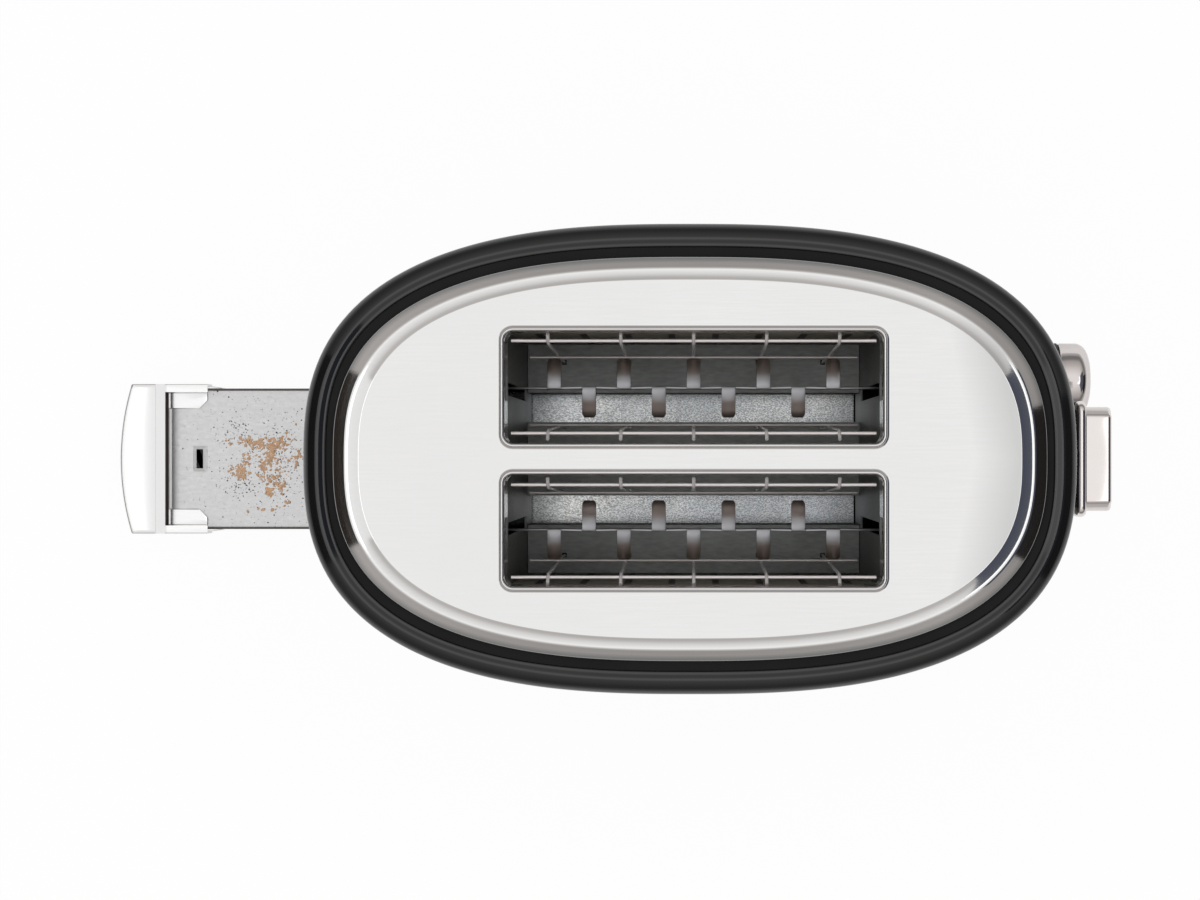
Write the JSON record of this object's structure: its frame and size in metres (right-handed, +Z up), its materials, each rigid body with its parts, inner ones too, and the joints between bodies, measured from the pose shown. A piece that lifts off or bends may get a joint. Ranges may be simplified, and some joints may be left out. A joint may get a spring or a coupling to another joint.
{
  "type": "toaster",
  "caption": "Pop-up toaster with an oval body, bread slots in a steel top plate, a push-down lever, a browning dial, push buttons and a crumb tray drawn out at the end.",
  "frame": {"origin": "on the surface the toaster stands on, under the middle of the oval body", "axes": "+X towards the end with the lever and the dial, +Y towards the side of the dial, +Z up"},
  "size_m": [0.4031, 0.1702, 0.1928],
  "materials": {
    "body_black": "gloss",
    "base_black": "satin",
    "plate_steel": "brushed, bright",
    "chrome_trim": "polished",
    "tray_steel": "satin",
    "zinc_steel": "satin",
    "rack_steel": "satin",
    "guard_wire": "bright wire",
    "mica": "matte",
    "heater_wire": "dull",
    "foot_rubber": "matte",
    "board_green": "matte",
    "board_cream": "matte",
    "copper_coil": "satin"
  },
  "bodies": {
    "chassis": {"outer_shell": "body_black", "top_ring": "body_black", "top_plate": "plate_steel", "base_pan": "base_black", "feet": "foot_rubber", "chassis_screws": "zinc_steel", "terminal_block": "board_cream", "oven_end_front": "zinc_steel", "oven_end_rear": "zinc_steel", "middle_channel": "zinc_steel", "crumb_bed": "zinc_steel", "floor_plate_dial_side": "zinc_steel", "floor_plate_button_side": "zinc_steel", "side_shield_dial_side": "zinc_steel", "side_shield_button_side": "zinc_steel", "heater_board_dial_side": "mica", "heater_board_button_side": "mica", "heater_board_middle": "mica", "heater_ribbon_dial_side": "heater_wire", "heater_ribbon_button_side": "heater_wire", "heater_ribbon_middle": "heater_wire", "guide_rod": "rack_steel", "rod_bracket": "zinc_steel", "lift_spring": "rack_steel", "magnet_core": "zinc_steel", "magnet_coil": "copper_coil", "dial_bezel": "base_black", "dial_switch": "base_black", "button_guide": "base_black", "control_board": "board_green", "board_parts": "base_black"},
    "lever_carriage": {"lever": "chrome_trim", "lever_arm": "zinc_steel", "carriage_plate": "zinc_steel", "carriage_block": "base_black", "latch_armature": "zinc_steel", "rack_dial_side": "rack_steel", "rack_button_side": "rack_steel"},
    "dial_knob": {"dial": "chrome_trim", "dial_shaft": "rack_steel"},
    "crumb_tray": {"tray_plate": "tray_steel", "tray_handle": "chrome_trim"},
    "key_cancel": {"button_cancel": "chrome_trim"},
    "key_defrost": {"button_defrost": "chrome_trim"},
    "key_reheat": {"button_reheat": "chrome_trim"},
    "cage_outer_dial_side": {"guard_outer_dial_side": "guard_wire"},
    "cage_outer_button_side": {"guard_outer_button_side": "guard_wire"},
    "cage_inner_dial_side": {"guard_inner_dial_side": "guard_wire"},
    "cage_inner_button_side": {"guard_inner_button_side": "guard_wire"}
  },
  "joints": [
    {"name": "lever_slide", "type": "slide", "parent": "chassis", "child": "lever_carriage", "axis": [0, 0, 1], "range_m": [-0.082, 0], "stiffness_N_per_m": 55, "springref_m": 0.06, "deforming": ["lift_spring"]},
    {"name": "dial_turn", "type": "hinge", "parent": "chassis", "child": "dial_knob", "pos_m": [0.1512, 0.0326, 0.04], "axis": [-1, 0, 0], "range_deg": [0, 270]},
    {"name": "tray_slide", "type": "slide", "parent": "chassis", "child": "crumb_tray", "axis": [-1, 0, 0], "range_m": [-0.0985, 0.055]},
    {"name": "press_cancel", "type": "slide", "parent": "chassis", "child": "key_cancel", "axis": [-1, 0, 0], "range_m": [0, 0.0018], "stiffness_N_per_m": 300, "springref_m": -0.0015},
    {"name": "press_defrost", "type": "slide", "parent": "chassis", "child": "key_defrost", "axis": [-1, 0, 0], "range_m": [0, 0.0018], "stiffness_N_per_m": 300, "springref_m": -0.0015},
    {"name": "press_reheat", "type": "slide", "parent": "chassis", "child": "key_reheat", "axis": [-1, 0, 0], "range_m": [0, 0.0018], "stiffness_N_per_m": 300, "springref_m": -0.0015},
    {"name": "swing_outer_dial_side", "type": "hinge", "parent": "chassis", "child": "cage_outer_dial_side", "pos_m": [0.0013, 0.0394, 0.0506], "axis": [1, 0, 0], "range_deg": [0, 1.92]},
    {"name": "swing_outer_button_side", "type": "hinge", "parent": "chassis", "child": "cage_outer_button_side", "pos_m": [0.0013, -0.0394, 0.0506], "axis": [-1, 0, 0], "range_deg": [0, 1.92]},
    {"name": "swing_inner_dial_side", "type": "hinge", "parent": "chassis", "child": "cage_inner_dial_side", "pos_m": [0.0013, 0.0134, 0.0506], "axis": [-1, 0, 0], "range_deg": [0, 1.92]},
    {"name": "swing_inner_button_side", "type": "hinge", "parent": "chassis", "child": "cage_inner_button_side", "pos_m": [0.0013, -0.0134, 0.0506], "axis": [1, 0, 0], "range_deg": [0, 1.92]}
  ],
  "couplings": [
    {"joint": "swing_outer_dial_side", "follows": "lever_slide", "rad_per_m": -0.4044},
    {"joint": "swing_outer_button_side", "follows": "lever_slide", "rad_per_m": -0.4044},
    {"joint": "swing_inner_dial_side", "follows": "lever_slide", "rad_per_m": -0.4044},
    {"joint": "swing_inner_button_side", "follows": "lever_slide", "rad_per_m": -0.4044}
  ]
}
